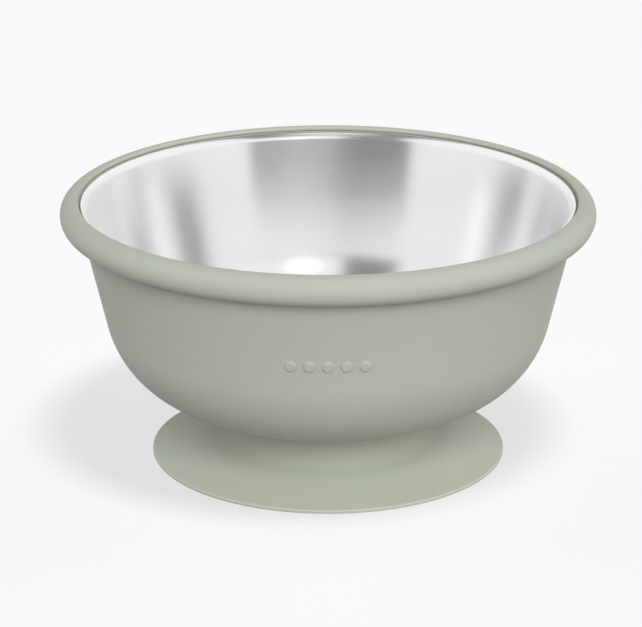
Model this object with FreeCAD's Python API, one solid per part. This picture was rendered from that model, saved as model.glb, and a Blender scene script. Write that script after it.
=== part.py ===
"""Suction bowl for a baby's meals: a pressed steel bowl that drops into a soft silicone sleeve,
which stands on a silicone suction cup.

Millimetres, +Z up, origin on the table under the middle of the suction cup. The moulded dots on
the wall face the eater, towards -Y.
"""

import FreeCAD, Part
import os
from math import acos, atan2, cos, degrees, radians, sin, sqrt, tan

# Overall
rim_diameter = 130.0  # across the rolled rim
overall_height = 65.5  # table to the top of the rolled rim

# Sleeve
bead_diameter = 7.2  # thickness of the rolled rim
bead_overhang = 4.4  # how far the rolled rim stands out past the wall, at the rim's mid-height
crease_fillet = 0.5  # where the underside of the rolled rim runs into the wall
lip_fillet = 0.6  # inner edge of the rolled rim, beside the steel
wall_draft = 13.1  # degrees off vertical
corner_radius = 25.8  # from the wall round to the belly
belly_radius = 40.0  # from the corner round to the flat underside
belly_slope = 22.4  # degrees, where the belly meets the corner
sleeve_bottom = 13.5  # table to the flat underside of the sleeve
sleeve_wall = 1.5
neck_fillet = 2.6  # from the flat underside down into the neck

# Steel bowl
steel_wall = 0.5
fit_clearance = 0.25  # all round, between the steel and the sleeve
flare_radius = 2.7  # inside face of the flared rim
flare_angle = 64.0  # degrees off vertical at the edge of the flared rim
edge_drop = 1.05  # top of the rolled rim down to the edge of the flared rim

# Suction cup
skirt_reach = 22.5  # neck to the outer edge of the skirt
skirt_slope = 10.0  # degrees, on top of the skirt
edge_thickness = 0.9
edge_band = 1.2  # flat band on top, along the outer edge
edge_fillet = 0.3
seal_band = 2.0  # flat ring that seals on the table
cavity_height = 4.0  # table to the middle of the cup's hollow

# Moulded dots, where a thumb finds the front
dot_count = 5
dot_diameter = 2.6
dot_pitch = 4.3  # along the wall, middle to middle
dot_relief = 0.45  # how far a dot stands out of the wall
dot_fillet = 0.3
dot_height = 41.5  # table to the middle of the row

# Sizes that follow from those above
draft = radians(wall_draft)
slope = radians(belly_slope)
bead_radius = bead_diameter / 2
bead_centre = (rim_diameter / 2 - bead_radius, overall_height - bead_radius)
wall_radius = rim_diameter / 2 - bead_overhang  # sleeve's outer face, level with bead_centre
sleeve_floor = sleeve_bottom + sleeve_wall
edge_height = overall_height - edge_drop
neck_height = sleeve_bottom - neck_fillet  # table to the flat face where cup and sleeve meet


def on_circle(centre, radius, angle):
    """The point of a circle at an angle in degrees, from outwards (0) towards up (90)."""
    turn = radians(angle)
    return (centre[0] + radius * cos(turn), centre[1] + radius * sin(turn))


def vector(point):
    """A point (radius, height) of a half-section, which lies in the XZ plane."""
    return FreeCAD.Vector(point[0], 0, point[1])


def line(start, end):
    return Part.LineSegment(vector(start), vector(end)).toShape()


def arc(centre, radius, start, end):
    """Part of a circle in the half-section, between two angles in degrees."""
    angles = (start, (start + end) / 2, end)
    return Part.Arc(*(vector(on_circle(centre, radius, angle)) for angle in angles)).toShape()


def revolved(edges):
    """The solid that a closed half-section sweeps round the Z axis."""
    outline = Part.Wire(Part.__sortEdges__(edges))
    return Part.Face(outline).revolve(FreeCAD.Vector(), FreeCAD.Vector(0, 0, 1), 360)


def rounded(solid, radius, point):
    """The revolved solid with the round edge through a point of its half-section filleted."""
    edges = [
        edge
        for edge in solid.Edges
        if len(edge.Vertexes) == 1
        and edge.Vertexes[0].Point.distanceToPoint(vector(point)) < 1e-4
    ]
    return solid.makeFillet(radius, edges)


class Shell:
    """One face of the bowl's shape, an inset inside the sleeve's outer face: a drafted wall, a
    corner and a belly, each tangent to the next, and a flat bottom at its own height."""

    def __init__(self, inset, bottom):
        self.inset = inset
        self.bottom = bottom
        self.corner = corner_radius - inset
        self.belly = belly_radius - inset
        self.foot_height = (
            bottom + self.belly * (1 - cos(slope)) + self.corner * (cos(slope) - sin(draft))
        )
        foot = self.wall_at(self.foot_height)
        self.corner_centre = on_circle(foot, self.corner, 180 - wall_draft)
        self.belly_centre = on_circle(
            self.corner_centre, self.belly - self.corner, 90 + belly_slope
        )
        self.flat_radius = self.belly_centre[0]

    def wall_at(self, height):
        """The point of the drafted wall at a height."""
        top = wall_radius - self.inset / cos(draft)
        return (top - (bead_centre[1] - height) * tan(draft), height)

    def edges(self, top):
        """The half-section from a point on the wall down to the rim of the flat bottom."""
        return [
            line(top, self.wall_at(self.foot_height)),
            arc(self.corner_centre, self.corner, -wall_draft, belly_slope - 90),
            arc(self.belly_centre, self.belly, belly_slope - 90, -90),
        ]


sleeve_outside = Shell(0, sleeve_bottom)
sleeve_inside = Shell(sleeve_wall, sleeve_floor)
steel_outside = Shell(sleeve_wall + fit_clearance, sleeve_floor)
steel_inside = Shell(sleeve_wall + fit_clearance + steel_wall, sleeve_floor + steel_wall)
neck_radius = sleeve_outside.flat_radius - neck_fillet

# The flared rim of the steel curls about flare_centre, and so does the seat for it in the sleeve.
flare_rise = flare_radius * (sin(radians(flare_angle)) - sin(draft))
flare_start = steel_inside.wall_at(edge_height - flare_rise)
flare_centre = on_circle(flare_start, flare_radius, -wall_draft)
edge_centre = on_circle(flare_centre, flare_radius - steel_wall / 2, 180 - flare_angle)
lip_radius = edge_centre[0] + steel_wall / 2 + fit_clearance


def steel_bowl():
    """Pressed steel shell with a flat bottom, and a flared rim that ends in a rounded edge."""
    wall_angle = 180 - wall_draft
    edge_angle = 180 - flare_angle
    under_radius = flare_radius - steel_wall
    return revolved(
        steel_inside.edges(flare_start)
        + [
            line((steel_inside.flat_radius, steel_inside.bottom), (0, steel_inside.bottom)),
            line((0, steel_inside.bottom), (0, steel_outside.bottom)),
            line((0, steel_outside.bottom), (steel_outside.flat_radius, steel_outside.bottom)),
        ]
        + steel_outside.edges(on_circle(flare_centre, under_radius, wall_angle))
        + [
            arc(flare_centre, under_radius, wall_angle, edge_angle),
            arc(edge_centre, steel_wall / 2, edge_angle - 180, edge_angle),
            arc(flare_centre, flare_radius, edge_angle, wall_angle),
        ]
    )


def moulded_dots():
    """A level row of round dots on the front of the wall, each one square to the wall."""
    root = sleeve_wall / 2
    dot = Part.makeCylinder(dot_diameter / 2, root + dot_relief)
    crown = [edge for edge in dot.Edges if edge.BoundBox.ZMin > root]
    dot = dot.makeFillet(dot_fillet, crown)
    dot.translate(FreeCAD.Vector(0, 0, -root))
    # The dot's axis lies along the wall's outward normal, which the draft tips down.
    dot.rotate(FreeCAD.Vector(), FreeCAD.Vector(0, 1, 0), 90 + wall_draft)
    wall_point = sleeve_outside.wall_at(dot_height)
    dot.translate(vector(wall_point))
    step = degrees(dot_pitch / wall_point[0])
    first = -90 - step * (dot_count - 1) / 2
    row = []
    for number in range(dot_count):
        turned = dot.copy()
        turned.rotate(FreeCAD.Vector(), FreeCAD.Vector(0, 0, 1), first + number * step)
        row.append(turned)
    return row


def silicone_sleeve():
    """Moulded sleeve: a rolled rim with a seat inside for the steel's flared rim, a thin shell
    that follows the steel, and a solid neck below."""
    # Down the wall's line from the bead's mid-height, the line leaves the bead's circle here.
    inwards = bead_centre[0] - wall_radius
    down_wall = sqrt(bead_radius**2 - (inwards * cos(draft)) ** 2) - inwards * sin(draft)
    crease = sleeve_outside.wall_at(bead_centre[1] - down_wall * cos(draft))
    crease_angle = degrees(atan2(crease[1] - bead_centre[1], crease[0] - bead_centre[0]))
    lip_angle = degrees(acos((lip_radius - bead_centre[0]) / bead_radius))
    lip_top = on_circle(bead_centre, bead_radius, lip_angle)

    seat_radius = flare_radius - steel_wall - fit_clearance
    seat_start = 180 - wall_draft
    seat_end = degrees(acos((lip_radius - flare_centre[0]) / seat_radius))

    sleeve = revolved(
        sleeve_outside.edges(crease)
        + [
            arc((sleeve_outside.flat_radius, neck_height), neck_fillet, 90, 180),
            line((neck_radius, neck_height), (0, neck_height)),
            line((0, neck_height), (0, sleeve_floor)),
            line((0, sleeve_floor), (sleeve_inside.flat_radius, sleeve_floor)),
        ]
        + sleeve_inside.edges(on_circle(flare_centre, seat_radius, seat_start))
        + [
            arc(flare_centre, seat_radius, seat_start, seat_end),
            line(on_circle(flare_centre, seat_radius, seat_end), lip_top),
            arc(bead_centre, bead_radius, lip_angle, crease_angle),
        ]
    )
    sleeve = rounded(sleeve, crease_fillet, crease)
    sleeve = rounded(sleeve, lip_fillet, lip_top)
    return sleeve.fuse(moulded_dots()).removeSplitter()


def suction_cup():
    """Round foot: a neck that sweeps out into a thin skirt, over a shallow domed hollow."""
    tilt = radians(skirt_slope)
    cup_radius = neck_radius + skirt_reach
    band_edge = (cup_radius - edge_band, edge_thickness)
    seal_radius = cup_radius - seal_band
    # The sweep out of the neck is as large as the skirt's slope leaves room for.
    slope_rise = (band_edge[0] - neck_radius) * tan(tilt)
    sweep = (neck_height - edge_thickness - slope_rise) / (cos(tilt) - (1 - sin(tilt)) * tan(tilt))
    sweep_centre = (neck_radius + sweep, neck_height)
    dome = (seal_radius**2 + cavity_height**2) / (2 * cavity_height)
    dome_centre = (0, cavity_height - dome)
    dome_edge_angle = degrees(atan2(-dome_centre[1], seal_radius))

    cup = revolved(
        [
            line((0, neck_height), (neck_radius, neck_height)),
            arc(sweep_centre, sweep, 180, 270 - skirt_slope),
            line(on_circle(sweep_centre, sweep, 270 - skirt_slope), band_edge),
            line(band_edge, (cup_radius, edge_thickness)),
            line((cup_radius, edge_thickness), (cup_radius, 0)),
            line((cup_radius, 0), (seal_radius, 0)),
            arc(dome_centre, dome, dome_edge_angle, 90),
            line((0, cavity_height), (0, neck_height)),
        ]
    )
    cup = rounded(cup, edge_fillet, (cup_radius, edge_thickness))
    return rounded(cup, edge_fillet, (cup_radius, 0))


os.makedirs("parts", exist_ok=True)
steel_bowl().exportStep("parts/steel_bowl.step")
silicone_sleeve().exportStep("parts/silicone_sleeve.step")
suction_cup().exportStep("parts/suction_cup.step")
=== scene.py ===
"""Suction bowl for a baby's meals: a satin steel bowl in a soft sage silicone sleeve, on a silicone
suction cup. Metres, +Z up, the front towards -Y. Each section makes one piece, from the table up.
"""
from math import acos, atan2, cos, degrees, radians, sin, sqrt, tan

import bmesh
import bpy
from mathutils import Matrix, Vector


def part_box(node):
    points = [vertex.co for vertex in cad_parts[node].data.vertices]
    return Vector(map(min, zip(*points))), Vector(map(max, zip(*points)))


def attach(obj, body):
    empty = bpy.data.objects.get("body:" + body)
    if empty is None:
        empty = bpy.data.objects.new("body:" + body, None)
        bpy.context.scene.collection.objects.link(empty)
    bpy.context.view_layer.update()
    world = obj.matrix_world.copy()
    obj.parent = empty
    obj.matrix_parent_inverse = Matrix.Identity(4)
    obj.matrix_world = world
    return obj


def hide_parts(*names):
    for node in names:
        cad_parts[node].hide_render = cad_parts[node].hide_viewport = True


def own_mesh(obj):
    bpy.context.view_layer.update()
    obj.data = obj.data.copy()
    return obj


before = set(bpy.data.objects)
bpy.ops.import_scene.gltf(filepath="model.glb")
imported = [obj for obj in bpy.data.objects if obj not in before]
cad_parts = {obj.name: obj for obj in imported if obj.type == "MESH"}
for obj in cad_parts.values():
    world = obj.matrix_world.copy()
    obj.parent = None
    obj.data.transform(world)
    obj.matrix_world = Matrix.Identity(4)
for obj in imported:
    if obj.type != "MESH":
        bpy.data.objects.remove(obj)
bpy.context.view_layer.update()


# Suction cup: the foot of the bowl, one soft silicone moulding with a thin skirt that lies on the
# table and a shallow hollow under it. Its top is moulded on to the neck of the sleeve.


def line_to(section, pen, radius, height):
    """Draws a straight stretch of a half-section and returns the vertex that it ends on."""
    end = bmesh.ops.extrude_vert_indiv(section, verts=[pen])["verts"][0]
    end.co = (radius, 0, height)
    return end


def arc_round(section, pen, radius, height, turn, steps):
    """Sweeps an arc of a half-section about (radius, height), anticlockwise for positive degrees."""
    swept = bmesh.ops.spin(
        section, geom=[pen], cent=(radius, 0, height), axis=(0, -1, 0),
        angle=radians(turn), steps=steps,
    )
    return swept["geom_last"][0]


MERGE_DISTANCE = 1e-6


def turned(section, name, turns=288):
    """Turns a half-section about the Z axis into a smooth closed piece."""
    bmesh.ops.remove_doubles(section, verts=section.verts, dist=MERGE_DISTANCE)
    bmesh.ops.spin(
        section, geom=section.verts[:] + section.edges[:], cent=(0, 0, 0), axis=(0, 0, 1),
        angle=radians(360), steps=turns, use_merge=True,
    )
    bmesh.ops.remove_doubles(section, verts=section.verts, dist=MERGE_DISTANCE)
    bmesh.ops.recalc_face_normals(section, faces=section.faces)
    for face in section.faces:
        face.smooth = True
    mesh = bpy.data.meshes.new(name)
    section.to_mesh(mesh)
    section.free()
    piece = bpy.data.objects.new(name, mesh)
    bpy.context.scene.collection.objects.link(piece)
    return piece


cup_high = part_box("suction_cup")[1]
CUP_RADIUS = cup_high.x
NECK_HEIGHT = cup_high.z
SKIRT_REACH = 0.0225
NECK_RADIUS = CUP_RADIUS - SKIRT_REACH
SKIRT_SLOPE = 10.0
EDGE_THICKNESS = 0.0009
EDGE_BAND = 0.0012
EDGE_FILLET = 0.0003
SEAL_BAND = 0.0020
CAVITY_HEIGHT = 0.0040

tilt = radians(SKIRT_SLOPE)
band_radius = CUP_RADIUS - EDGE_BAND
seal_radius = CUP_RADIUS - SEAL_BAND
slope_rise = (band_radius - NECK_RADIUS) * tan(tilt)
sweep = (NECK_HEIGHT - EDGE_THICKNESS - slope_rise) / (cos(tilt) - (1 - sin(tilt)) * tan(tilt))
dome_radius = (seal_radius**2 + CAVITY_HEIGHT**2) / (2 * CAVITY_HEIGHT)
dome_turn = degrees(atan2(seal_radius, dome_radius - CAVITY_HEIGHT))

section = bmesh.new()
pen = section.verts.new((0, 0, NECK_HEIGHT))
pen = line_to(section, pen, NECK_RADIUS, NECK_HEIGHT)
pen = arc_round(section, pen, NECK_RADIUS + sweep, NECK_HEIGHT, 90 - SKIRT_SLOPE, 24)
pen = line_to(section, pen, band_radius, EDGE_THICKNESS)
pen = line_to(section, pen, CUP_RADIUS - EDGE_FILLET, EDGE_THICKNESS)
pen = arc_round(section, pen, CUP_RADIUS - EDGE_FILLET, EDGE_THICKNESS - EDGE_FILLET, -90, 6)
pen = line_to(section, pen, CUP_RADIUS, EDGE_FILLET)
pen = arc_round(section, pen, CUP_RADIUS - EDGE_FILLET, EDGE_FILLET, -90, 6)
pen = line_to(section, pen, seal_radius, 0)
pen = arc_round(section, pen, 0, CAVITY_HEIGHT - dome_radius, dome_turn, 24)
suction_cup = turned(section, "suction_cup_silicone")


def socket(node, **values):
    """Sets inputs of a node by name, with an underscore for each space in the name."""
    for name, value in values.items():
        node.inputs[name.replace("_", " ")].default_value = value


def reckon(tree, operation, first, second=0.0):
    """One step of arithmetic on sockets or numbers."""
    step = tree.nodes.new("ShaderNodeMath")
    step.operation = operation
    for entry, value in zip(step.inputs, (first, second)):
        if isinstance(value, bpy.types.NodeSocket):
            tree.links.new(value, entry)
        else:
            entry.default_value = value
    return step.outputs["Value"]


def rise(tree, value, start, end):
    """Goes smoothly from 0 at the start to 1 at the end."""
    step = tree.nodes.new("ShaderNodeMapRange")
    step.interpolation_type = "SMOOTHSTEP"
    tree.links.new(value, step.inputs["Value"])
    step.inputs["From Min"].default_value = start
    step.inputs["From Max"].default_value = end
    return step.outputs["Result"]


def grain(tree, place, scale, detail=2.0):
    """Noise with about this many grains to the metre."""
    noise = tree.nodes.new("ShaderNodeTexNoise")
    socket(noise, Scale=scale, Detail=detail)
    tree.links.new(place, noise.inputs["Vector"])
    return noise.outputs["Fac"]


DARK_SAGE = (0.480, 0.507, 0.434)
PALE_SAGE = (0.524, 0.549, 0.476)
MOTTLE_GRAIN, MOTTLE_SHARE = 900.0, 0.35
DRIFT_GRAIN, DRIFT_SHARE = 45.0, 0.65
GLOSS_GRAIN, GLOSS_SPREAD = 130.0, 0.16
SKIN_GRAIN = 5200.0
SKIN_DEPTH = 0.00004
PARTING_HALF_WIDTH, PARTING_CORE = 0.00014, 0.00004
PARTING_RELIEF = 0.6


def silicone(name, tone, roughness, parting_height):
    """Sage silicone with a fine moulded grain, a faint drift of colour and gloss, and a line where
    the two halves of the mould met. A tone over 1 makes it paler."""
    material = bpy.data.materials.new(name)
    material.use_nodes = True
    tree = material.node_tree
    surface = tree.nodes["Principled BSDF"]
    place = tree.nodes.new("ShaderNodeTexCoord").outputs["Object"]

    tint = tree.nodes.new("ShaderNodeMix")
    tint.data_type = "RGBA"
    tint.inputs["A"].default_value = (*(part * tone for part in DARK_SAGE), 1)
    tint.inputs["B"].default_value = (*(part * tone for part in PALE_SAGE), 1)
    mottle = reckon(tree, "MULTIPLY", grain(tree, place, MOTTLE_GRAIN), MOTTLE_SHARE)
    drift = reckon(tree, "MULTIPLY", grain(tree, place, DRIFT_GRAIN, detail=3.0), DRIFT_SHARE)
    tree.links.new(reckon(tree, "ADD", mottle, drift), tint.inputs["Factor"])
    tree.links.new(tint.outputs["Result"], surface.inputs["Base Color"])

    patches = reckon(tree, "MULTIPLY", grain(tree, place, GLOSS_GRAIN, detail=4.0), GLOSS_SPREAD)
    rough = reckon(tree, "ADD", patches, roughness - GLOSS_SPREAD / 2)
    tree.links.new(rough, surface.inputs["Roughness"])

    apart = tree.nodes.new("ShaderNodeSeparateXYZ")
    tree.links.new(place, apart.inputs["Vector"])
    off_line = reckon(tree, "SUBTRACT", apart.outputs["Z"], parting_height)
    line = rise(tree, reckon(tree, "ABSOLUTE", off_line), PARTING_HALF_WIDTH, PARTING_CORE)
    raised = reckon(tree, "MULTIPLY", line, PARTING_RELIEF)
    skin = reckon(tree, "ADD", grain(tree, place, SKIN_GRAIN), raised)
    bump = tree.nodes.new("ShaderNodeBump")
    socket(bump, Strength=0.30, Distance=SKIN_DEPTH)
    tree.links.new(skin, bump.inputs["Height"])
    tree.links.new(bump.outputs["Normal"], surface.inputs["Normal"])
    surface.inputs["Specular IOR Level"].default_value = 0.35
    surface.inputs["Sheen Weight"].default_value = 0.05
    surface.inputs["Sheen Roughness"].default_value = 0.5
    return material


CUP_PAINTED_LIGHT_TONE = 1.12  # painted light: the cup's silicone is made paler than the sleeve's, for the light on its upturned skirt and the light through the thin silicone from the pale table
CUP_ROUGHNESS = 0.60
SEAL_ROUGHNESS = 0.28  # the underside is moulded glossy, to seal
FACING_DOWN = -0.5
cup_parting = EDGE_THICKNESS / 2
# painted light: both cup finishes get the paler tone, standing in for light on the skirt
cup_finish = silicone("cup_silicone", CUP_PAINTED_LIGHT_TONE, CUP_ROUGHNESS, cup_parting)
seal_finish = silicone("polished_seal_silicone", CUP_PAINTED_LIGHT_TONE, SEAL_ROUGHNESS, cup_parting)
suction_cup.data.materials.append(cup_finish)
suction_cup.data.materials.append(seal_finish)
for face in suction_cup.data.polygons:
    if face.normal.z < FACING_DOWN:
        face.material_index = 1
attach(suction_cup, "suction_cup")
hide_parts("suction_cup")
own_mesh(suction_cup)


# Sleeve: one silicone moulding that grips the steel bowl, with a thick rolled rim, a thin wall
# that follows the steel, and a short solid neck that the suction cup hangs from.
sleeve_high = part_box("silicone_sleeve")[1]
RIM_RADIUS = 0.0650
RIM_HEIGHT = sleeve_high.z
BEAD_RADIUS = 0.0036
WALL_STEP = 0.0044
WALL_RADIUS = RIM_RADIUS - WALL_STEP  # outside of the wall, level with the middle of the bead
WALL_DRAFT = 13.1
CORNER_RADIUS = 0.0258
BELLY_RADIUS = 0.0400
BELLY_SLOPE = 22.4
SLEEVE_BOTTOM = 0.0135
CREASE_FILLET = 0.0005
LIP_FILLET = 0.0006
LIP_TUCK = 68.0  # the lip curls under by this much, over a groove beside the steel's edge
LIP_GROOVE = 0.00043
SLEEVE_WALL = 0.0015
FIT = 0.00025
STEEL_WALL = 0.0005
FLARE_RADIUS = 0.0027
FLARE_ANGLE = 64.0
EDGE_DROP = 0.00105

draft = radians(WALL_DRAFT)
slope = radians(BELLY_SLOPE)
bead_r, bead_z = RIM_RADIUS - BEAD_RADIUS, RIM_HEIGHT - BEAD_RADIUS


def wall_radius(inset, height):
    """Radius of a face of the drafted wall, an inset inside the sleeve's outer face."""
    return WALL_RADIUS - inset / cos(draft) - (bead_z - height) * tan(draft)


def wall_foot(inset, bottom):
    """Height where a face of the wall runs into its corner."""
    belly = (BELLY_RADIUS - inset) * (1 - cos(slope))
    return bottom + belly + (CORNER_RADIUS - inset) * (cos(slope) - sin(draft))


def bowl_down(section, pen, inset, bottom):
    """Draws one face of the bowl's shape from the wall down to the edge of its flat bottom."""
    foot = wall_foot(inset, bottom)
    pen = line_to(section, pen, wall_radius(inset, foot), foot)
    corner = CORNER_RADIUS - inset
    corner_r = pen.co.x - corner * cos(draft)
    corner_z = foot + corner * sin(draft)
    pen = arc_round(section, pen, corner_r, corner_z, BELLY_SLOPE - 90 + WALL_DRAFT, 40)
    step = BELLY_RADIUS - CORNER_RADIUS
    return arc_round(
        section, pen, corner_r - step * sin(slope), corner_z + step * cos(slope), -BELLY_SLOPE, 16
    )


overhang = bead_r - WALL_RADIUS
across = CREASE_FILLET - overhang * cos(draft)
along = -sqrt((BEAD_RADIUS + CREASE_FILLET) ** 2 - across**2)
crease_r = bead_r + across * cos(draft) + along * sin(draft)
crease_z = bead_z - across * sin(draft) + along * cos(draft)
crease_angle = degrees(atan2(crease_z - bead_z, crease_r - bead_r))

flare_rise = FLARE_RADIUS * (sin(radians(FLARE_ANGLE)) - sin(draft))
flare_start_z = RIM_HEIGHT - EDGE_DROP - flare_rise
flare_r = wall_radius(SLEEVE_WALL + FIT + STEEL_WALL, flare_start_z) + FLARE_RADIUS * cos(draft)
flare_z = flare_start_z - FLARE_RADIUS * sin(draft)
seated_edge_r = flare_r - (FLARE_RADIUS - STEEL_WALL / 2) * cos(radians(FLARE_ANGLE))
lip_r = seated_edge_r + STEEL_WALL / 2 + FIT
lip_z = bead_z + sqrt((BEAD_RADIUS - LIP_FILLET) ** 2 - (lip_r + LIP_FILLET - bead_r) ** 2)
lip_angle = degrees(atan2(lip_z - bead_z, lip_r + LIP_FILLET - bead_r))
seat_radius = FLARE_RADIUS - STEEL_WALL - FIT
groove_r = lip_r + LIP_GROOVE
seat_end = degrees(acos((groove_r - flare_r) / seat_radius))
sleeve_floor = SLEEVE_BOTTOM + SLEEVE_WALL

section = bmesh.new()
wall_top = (crease_r - CREASE_FILLET * cos(draft), 0, crease_z + CREASE_FILLET * sin(draft))
pen = section.verts.new(wall_top)
pen = arc_round(section, pen, crease_r, crease_z, WALL_DRAFT + crease_angle, 8)
pen = arc_round(section, pen, bead_r, bead_z, lip_angle - crease_angle, 64)
pen = arc_round(section, pen, lip_r + LIP_FILLET, lip_z, 180 - lip_angle + LIP_TUCK, 14)
pen = line_to(section, pen, groove_r, flare_z + seat_radius * sin(radians(seat_end)))
pen = arc_round(section, pen, flare_r, flare_z, 180 - WALL_DRAFT - seat_end, 12)
pen = bowl_down(section, pen, SLEEVE_WALL, sleeve_floor)
pen = line_to(section, pen, 0, sleeve_floor)
pen = section.verts.new(wall_top)
pen = bowl_down(section, pen, 0, SLEEVE_BOTTOM)
pen = arc_round(section, pen, pen.co.x, NECK_HEIGHT, 90, 12)
pen = line_to(section, pen, 0, NECK_HEIGHT)
sleeve = turned(section, "sleeve_silicone")
SLEEVE_ROUGHNESS = 0.62
sleeve_finish = silicone("sleeve_silicone", 1.0, SLEEVE_ROUGHNESS, bead_z)
sleeve.data.materials.append(sleeve_finish)
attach(sleeve, "sleeve")
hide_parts("silicone_sleeve")


# Front dots: a level row of five round dots, moulded in one with the sleeve's wall, where a thumb
# finds the front. Each stands square to the wall, with a soft crown and a soft foot.
DOT_COUNT = 5
DOT_RADIUS = 0.0013
DOT_PITCH = 0.0043
DOT_RELIEF = 0.00045
DOT_CROWN = 0.0003
DOT_FOOT = 0.00025
DOT_ROOT = 0.0005
DOT_HEIGHT = 0.0415
SUNK = 0.00003  # the rim of a dot's foot, below the wall's face

section = bmesh.new()
pen = section.verts.new((0, 0, -DOT_ROOT))
pen = line_to(section, pen, DOT_RADIUS + DOT_FOOT, -DOT_ROOT)
pen = line_to(section, pen, DOT_RADIUS + DOT_FOOT, -SUNK)
pen = arc_round(section, pen, DOT_RADIUS + DOT_FOOT, DOT_FOOT - SUNK, -90, 6)
pen = line_to(section, pen, DOT_RADIUS, DOT_RELIEF - DOT_CROWN)
pen = arc_round(section, pen, DOT_RADIUS - DOT_CROWN, DOT_RELIEF - DOT_CROWN, 90, 8)
pen = line_to(section, pen, 0, DOT_RELIEF)
dots = turned(section, "front_dots_silicone", 64)

row = bmesh.new()
row.from_mesh(dots.data)
outward = Matrix.Rotation(radians(90 + WALL_DRAFT), 4, "Y")
bmesh.ops.transform(row, matrix=outward, verts=row.verts)
on_wall = Vector((wall_radius(0, DOT_HEIGHT), 0, DOT_HEIGHT))
bmesh.ops.translate(row, vec=on_wall, verts=row.verts)
step = DOT_PITCH / on_wall.x
first = radians(-90) - step * (DOT_COUNT - 1) / 2
bmesh.ops.rotate(row, cent=(0, 0, 0), matrix=Matrix.Rotation(first, 3, "Z"), verts=row.verts)
dot = row.verts[:] + row.edges[:] + row.faces[:]
bmesh.ops.spin(
    row, geom=dot, cent=(0, 0, 0), axis=(0, 0, 1), angle=step * (DOT_COUNT - 1),
    steps=DOT_COUNT - 1, use_duplicate=True,
)
row.to_mesh(dots.data)
row.free()
dots.data.materials.append(sleeve_finish)
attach(dots, "sleeve")


# Steel bowl: pressed from one thin stainless sheet and satin polished on the lathe. Its flared
# rim drops into the seat inside the sleeve's rim, and it lifts straight out.
steel_floor = sleeve_floor + STEEL_WALL
STEEL_FLARE_ANGLE = 60.0  # the edge stands a little clear of the sleeve's lip
curl = STEEL_FLARE_ANGLE - WALL_DRAFT
edge_angle = radians(STEEL_FLARE_ANGLE)
edge_r = flare_r - (FLARE_RADIUS - STEEL_WALL / 2) * cos(edge_angle)
edge_z = flare_z + (FLARE_RADIUS - STEEL_WALL / 2) * sin(edge_angle)

section = bmesh.new()
flare_edge = (flare_r - FLARE_RADIUS * cos(edge_angle), 0, flare_z + FLARE_RADIUS * sin(edge_angle))
pen = section.verts.new(flare_edge)
pen = arc_round(section, pen, flare_r, flare_z, curl, 16)
pen = bowl_down(section, pen, SLEEVE_WALL + FIT + STEEL_WALL, steel_floor)
pen = line_to(section, pen, 0, steel_floor)
pen = section.verts.new(flare_edge)
pen = arc_round(section, pen, edge_r, edge_z, -180, 10)
pen = arc_round(section, pen, flare_r, flare_z, curl, 12)
pen = bowl_down(section, pen, SLEEVE_WALL + FIT, sleeve_floor)
pen = line_to(section, pen, 0, sleeve_floor)
steel = turned(section, "steel_bowl_satin")

satin_steel = bpy.data.materials.new("satin_steel")
satin_steel.use_nodes = True
tree = satin_steel.node_tree
surface = tree.nodes["Principled BSDF"]
place = tree.nodes.new("ShaderNodeTexCoord").outputs["Object"]
apart = tree.nodes.new("ShaderNodeSeparateXYZ")
tree.links.new(place, apart.inputs["Vector"])
from_axis = reckon(
    tree, "SQRT",
    reckon(
        tree, "ADD",
        reckon(tree, "MULTIPLY", apart.outputs["X"], apart.outputs["X"]),
        reckon(tree, "MULTIPLY", apart.outputs["Y"], apart.outputs["Y"]),
    ),
)
down_profile = reckon(tree, "ADD", from_axis, apart.outputs["Z"])


def rings(width, arc):
    """Grain that runs in rings round the axis: its width down the profile, its length round it."""
    along = tree.nodes.new("ShaderNodeCombineXYZ")
    tree.links.new(reckon(tree, "DIVIDE", apart.outputs["X"], arc), along.inputs["X"])
    tree.links.new(reckon(tree, "DIVIDE", apart.outputs["Y"], arc), along.inputs["Y"])
    tree.links.new(reckon(tree, "DIVIDE", down_profile, width), along.inputs["Z"])
    return grain(tree, along.outputs["Vector"], 1.0)


DULL_STEEL = (0.955, 0.957, 0.960, 1)
BRIGHT_STEEL = (0.985, 0.985, 0.983, 1)
STEEL_ROUGHNESS = 0.180
POLISH_GRAIN, POLISH_SPREAD = 70.0, 0.05
RING_DEPTH = 0.0000012

fine_rings = rings(width=0.00012, arc=0.020)
broad_rings = rings(width=0.00090, arc=0.060)
steel_tint = tree.nodes.new("ShaderNodeMix")
steel_tint.data_type = "RGBA"
steel_tint.inputs["A"].default_value = DULL_STEEL
steel_tint.inputs["B"].default_value = BRIGHT_STEEL
tree.links.new(fine_rings, steel_tint.inputs["Factor"])
tree.links.new(steel_tint.outputs["Result"], surface.inputs["Base Color"])
polish = reckon(tree, "MULTIPLY", grain(tree, place, POLISH_GRAIN, detail=3.0), POLISH_SPREAD)
tree.links.new(reckon(tree, "ADD", polish, STEEL_ROUGHNESS), surface.inputs["Roughness"])
bump = tree.nodes.new("ShaderNodeBump")
socket(bump, Strength=1.0, Distance=RING_DEPTH)
lines = reckon(tree, "ADD", fine_rings, broad_rings)
tree.links.new(lines, bump.inputs["Height"])
tree.links.new(bump.outputs["Normal"], surface.inputs["Normal"])
round_axis = tree.nodes.new("ShaderNodeTangent")
round_axis.direction_type = "RADIAL"
round_axis.axis = "Z"
tree.links.new(round_axis.outputs["Tangent"], surface.inputs["Tangent"])
socket(surface, Metallic=1.0, Anisotropic=0.65, Anisotropic_Rotation=0.25)
steel.data.materials.append(satin_steel)
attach(steel, "steel_bowl")
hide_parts("steel_bowl")


# Studio: a pale floor with its own overhead lamp, and three soft lamps that light only the bowl.
# Reflections show white walls, open above, with a low dark desk in front, a dark gap at the front
# left and a bright lamp at the front right. The camera itself sees plain white beyond the floor.
FLOOR_SIZE = 8.0
BACKDROP_WHITE = 0.956
FLOOR_PAINT = 0.28

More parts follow.
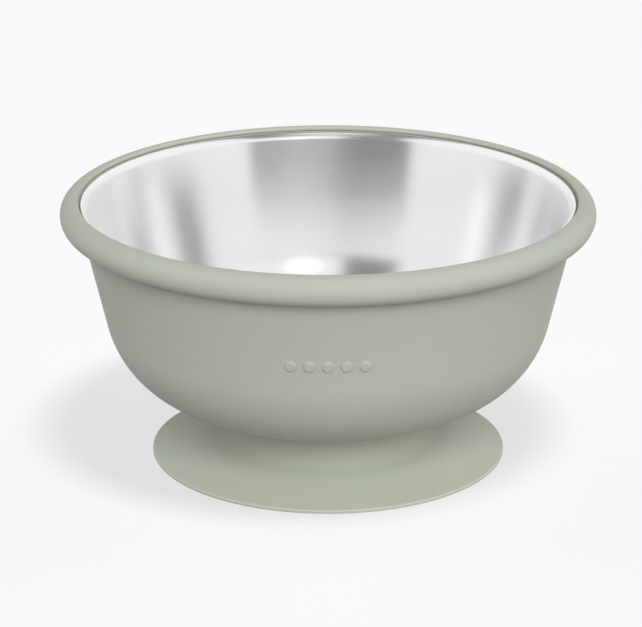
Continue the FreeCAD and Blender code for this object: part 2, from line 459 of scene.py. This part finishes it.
builder = bmesh.new()
bmesh.ops.create_grid(builder, x_segments=1, y_segments=1, size=FLOOR_SIZE / 2)
floor_mesh = bpy.data.meshes.new("floor")
builder.to_mesh(floor_mesh)
builder.free()
floor = bpy.data.objects.new("floor", floor_mesh)
bpy.context.scene.collection.objects.link(floor)


def shown(tree):
    """1 for what the camera or a reflection shows, 0 for the light that falls on things."""
    path = tree.nodes.new("ShaderNodeLightPath").outputs
    seen = reckon(tree, "MAXIMUM", path["Is Camera Ray"], path["Is Glossy Ray"])
    return reckon(tree, "MAXIMUM", seen, path["Is Transmission Ray"])


def lit(level, inside, new_level):
    """One level, and another where inside is 1."""
    mix = tree.nodes.new("ShaderNodeMix")
    tree.links.new(inside, mix.inputs["Factor"])
    for name, value in (("A", level), ("B", new_level)):
        if isinstance(value, bpy.types.NodeSocket):
            tree.links.new(value, mix.inputs[name])
        else:
            mix.inputs[name].default_value = value
    return mix.outputs["Result"]


FLOOR_GLOW = 0.685
FLOOR_BOUNCE = 0.06
floor_paint = bpy.data.materials.new("floor_paint")
floor_paint.use_nodes = True
floor_paint.cycles.emission_sampling = "NONE"
tree = floor_paint.node_tree
tree.nodes.remove(tree.nodes["Principled BSDF"])
paint = tree.nodes.new("ShaderNodeBsdfDiffuse")
paint.inputs["Color"].default_value = (FLOOR_PAINT, FLOOR_PAINT, FLOOR_PAINT, 1)
glow = tree.nodes.new("ShaderNodeEmission")
tree.links.new(lit(FLOOR_BOUNCE, shown(tree), FLOOR_GLOW), glow.inputs["Strength"])
both = tree.nodes.new("ShaderNodeAddShader")
tree.links.new(paint.outputs["BSDF"], both.inputs[0])
tree.links.new(glow.outputs["Emission"], both.inputs[1])
tree.links.new(both.outputs["Shader"], tree.nodes["Material Output"].inputs["Surface"])
floor_mesh.materials.append(floor_paint)


def lamp(name, energy, spread, height, side):
    """A soft far lamp, given by its height over the floor and its way round from the front."""
    light = bpy.data.lights.new(name, "SUN")
    light.energy = energy
    light.angle = radians(spread)
    holder = bpy.data.objects.new(name, light)
    holder.rotation_euler = (radians(90 - height), 0, radians(side))
    holder.visible_glossy = False  # reflections show the lamps among the walls instead
    bpy.context.scene.collection.objects.link(holder)
    return holder


def light_floor(holder, state):
    """Lets a lamp light only the floor (INCLUDE), or everything but the floor (EXCLUDE)."""
    reach = bpy.data.collections.new(holder.name + "_reach")
    reach.objects.link(floor)
    reach.collection_objects[0].light_linking.link_state = state
    holder.light_linking.receiver_collection = reach


floor_lamp = lamp("floor_lamp", energy=2.30, spread=14.0, height=72.0, side=23.0)
key_lamp = lamp("key_lamp", energy=2.44, spread=32.0, height=31.0, side=6.0)
right_lamp = lamp("right_lamp", energy=0.55, spread=40.0, height=35.0, side=60.0)
left_lamp = lamp("left_lamp", energy=0.35, spread=40.0, height=35.0, side=-60.0)
light_floor(floor_lamp, "INCLUDE")
for bowl_lamp in (key_lamp, right_lamp, left_lamp):
    light_floor(bowl_lamp, "EXCLUDE")

world = bpy.data.worlds.new("studio")
world.use_nodes = True
tree = world.node_tree
heading = tree.nodes.new("ShaderNodeSeparateXYZ")
looking = tree.nodes.new("ShaderNodeTexCoord").outputs["Generated"]
tree.links.new(looking, heading.inputs["Vector"])
across, back, up = heading.outputs
side = reckon(tree, "ARCTAN2", across, reckon(tree, "MULTIPLY", back, -1))
height = reckon(tree, "ARCSINE", up)

SIDE_WALL_TOP = 2.25  # how high each wall's top edge stands for each step out to the wall
SIDE_WALL_DIP = 0.7  # how much the side walls drop towards the front
BACK_WALL_TOP = 1.3
FRONT_WALL_TOP = 1.4
side_edge = reckon(
    tree, "ADD",
    reckon(tree, "MULTIPLY", reckon(tree, "ABSOLUTE", across), SIDE_WALL_TOP),
    reckon(tree, "MULTIPLY", reckon(tree, "MINIMUM", back, 0.0), SIDE_WALL_DIP),
)
back_edge = reckon(tree, "MULTIPLY", back, BACK_WALL_TOP)
front_edge = reckon(tree, "MULTIPLY", back, -FRONT_WALL_TOP)
wall_edge = reckon(tree, "MAXIMUM", side_edge, reckon(tree, "MAXIMUM", back_edge, front_edge))
opening = rise(tree, reckon(tree, "SUBTRACT", up, wall_edge), -0.10, 0.14)


def patch(left, right, low, high, soft):
    """1 inside part of the walls, given in degrees round from the front and up from the floor."""
    sides = reckon(
        tree, "MULTIPLY",
        rise(tree, side, radians(left - soft), radians(left + soft)),
        rise(tree, side, radians(right + soft), radians(right - soft)),
    )
    heights = reckon(
        tree, "MULTIPLY",
        rise(tree, height, radians(low - soft), radians(low + soft)),
        rise(tree, height, radians(high + soft), radians(high - soft)),
    )
    return reckon(tree, "MULTIPLY", sides, heights)


def disc(round_from_front, above_floor, core, rim):
    """1 in the core of a round lamp, given in degrees, down to 0 at its rim."""
    turn, tip = radians(round_from_front), radians(above_floor)
    toward = tree.nodes.new("ShaderNodeVectorMath")
    toward.operation = "DOT_PRODUCT"
    tree.links.new(looking, toward.inputs[0])
    toward.inputs[1].default_value = (sin(turn) * cos(tip), -cos(turn) * cos(tip), sin(tip))
    return rise(tree, toward.outputs["Value"], cos(radians(rim)), cos(radians(core)))


WALL_FOOT_LEVEL = 0.87
WALL_LEVEL = 0.93
OPEN_LEVEL = 0.24
TOP_LAMP_LEVEL = 0.85
FRONT_PANEL_LEVEL = 0.90
DESK_FOOT_LEVEL = 0.03
DESK_LEFT_LEVEL = 0.30
DESK_RIGHT_LEVEL = 0.47
GAP_LEVEL = 0.25
FRONT_LAMP_LEVEL = 1.30

level = lit(WALL_FOOT_LEVEL, rise(tree, height, radians(10), radians(28)), WALL_LEVEL)
level = lit(level, opening, OPEN_LEVEL)
top_lamp = disc(round_from_front=0, above_floor=78, core=6, rim=18)
level = lit(level, top_lamp, TOP_LAMP_LEVEL)
front_panel = patch(left=-4, right=31, low=21, high=46, soft=5)
level = lit(level, front_panel, FRONT_PANEL_LEVEL)
desk_top_level = lit(DESK_RIGHT_LEVEL, rise(tree, side, radians(2), radians(-8)), DESK_LEFT_LEVEL)
desk_level = lit(DESK_FOOT_LEVEL, rise(tree, height, radians(3), radians(15)), desk_top_level)
desk = patch(left=-41, right=39, low=-90, high=18, soft=3)
level = lit(level, desk, desk_level)
gap = patch(left=-42, right=-9, low=18, high=50, soft=6)
level = lit(level, gap, GAP_LEVEL)
front_lamp = disc(round_from_front=15, above_floor=29, core=5, rim=13)
level = lit(level, front_lamp, FRONT_LAMP_LEVEL)

FILL = 1.12  # soft light from the two rear quarters, unseen in reflections
path = tree.nodes.new("ShaderNodeLightPath").outputs
mirrored = reckon(tree, "MAXIMUM", path["Is Glossy Ray"], path["Is Transmission Ray"])
sides_lit = rise(tree, reckon(tree, "ABSOLUTE", across), 0.2, 0.7)
sides_lit = reckon(tree, "MULTIPLY", sides_lit, rise(tree, back, -0.1, 0.1))
level = lit(reckon(tree, "MULTIPLY", sides_lit, FILL), mirrored, level)
level = lit(level, path["Is Camera Ray"], BACKDROP_WHITE)
tree.nodes["Background"].inputs["Color"].default_value = (1, 1, 1, 1)
tree.links.new(level, tree.nodes["Background"].inputs["Strength"])
bpy.context.scene.world = world

CAMERA_DISTANCE = 0.7128
CAMERA_HEIGHT = 0.2845
CAMERA_TILT = 19.294  # degrees down from level
camera_data = bpy.data.cameras.new("camera")
camera_data.sensor_width = 36
camera_data.lens = 172.2
camera_data.shift_x = -0.0111
camera = bpy.data.objects.new("camera", camera_data)
camera.location = (0, -CAMERA_DISTANCE, CAMERA_HEIGHT)
camera.rotation_euler = (radians(90 - CAMERA_TILT), 0, 0)
bpy.context.scene.collection.objects.link(camera)
bpy.context.scene.camera = camera

bpy.context.scene.view_settings.view_transform = "Standard"
# Light that skims round inside a polished bowl is reflected many times before it gets out.
bpy.context.scene.cycles.glossy_bounces = 12
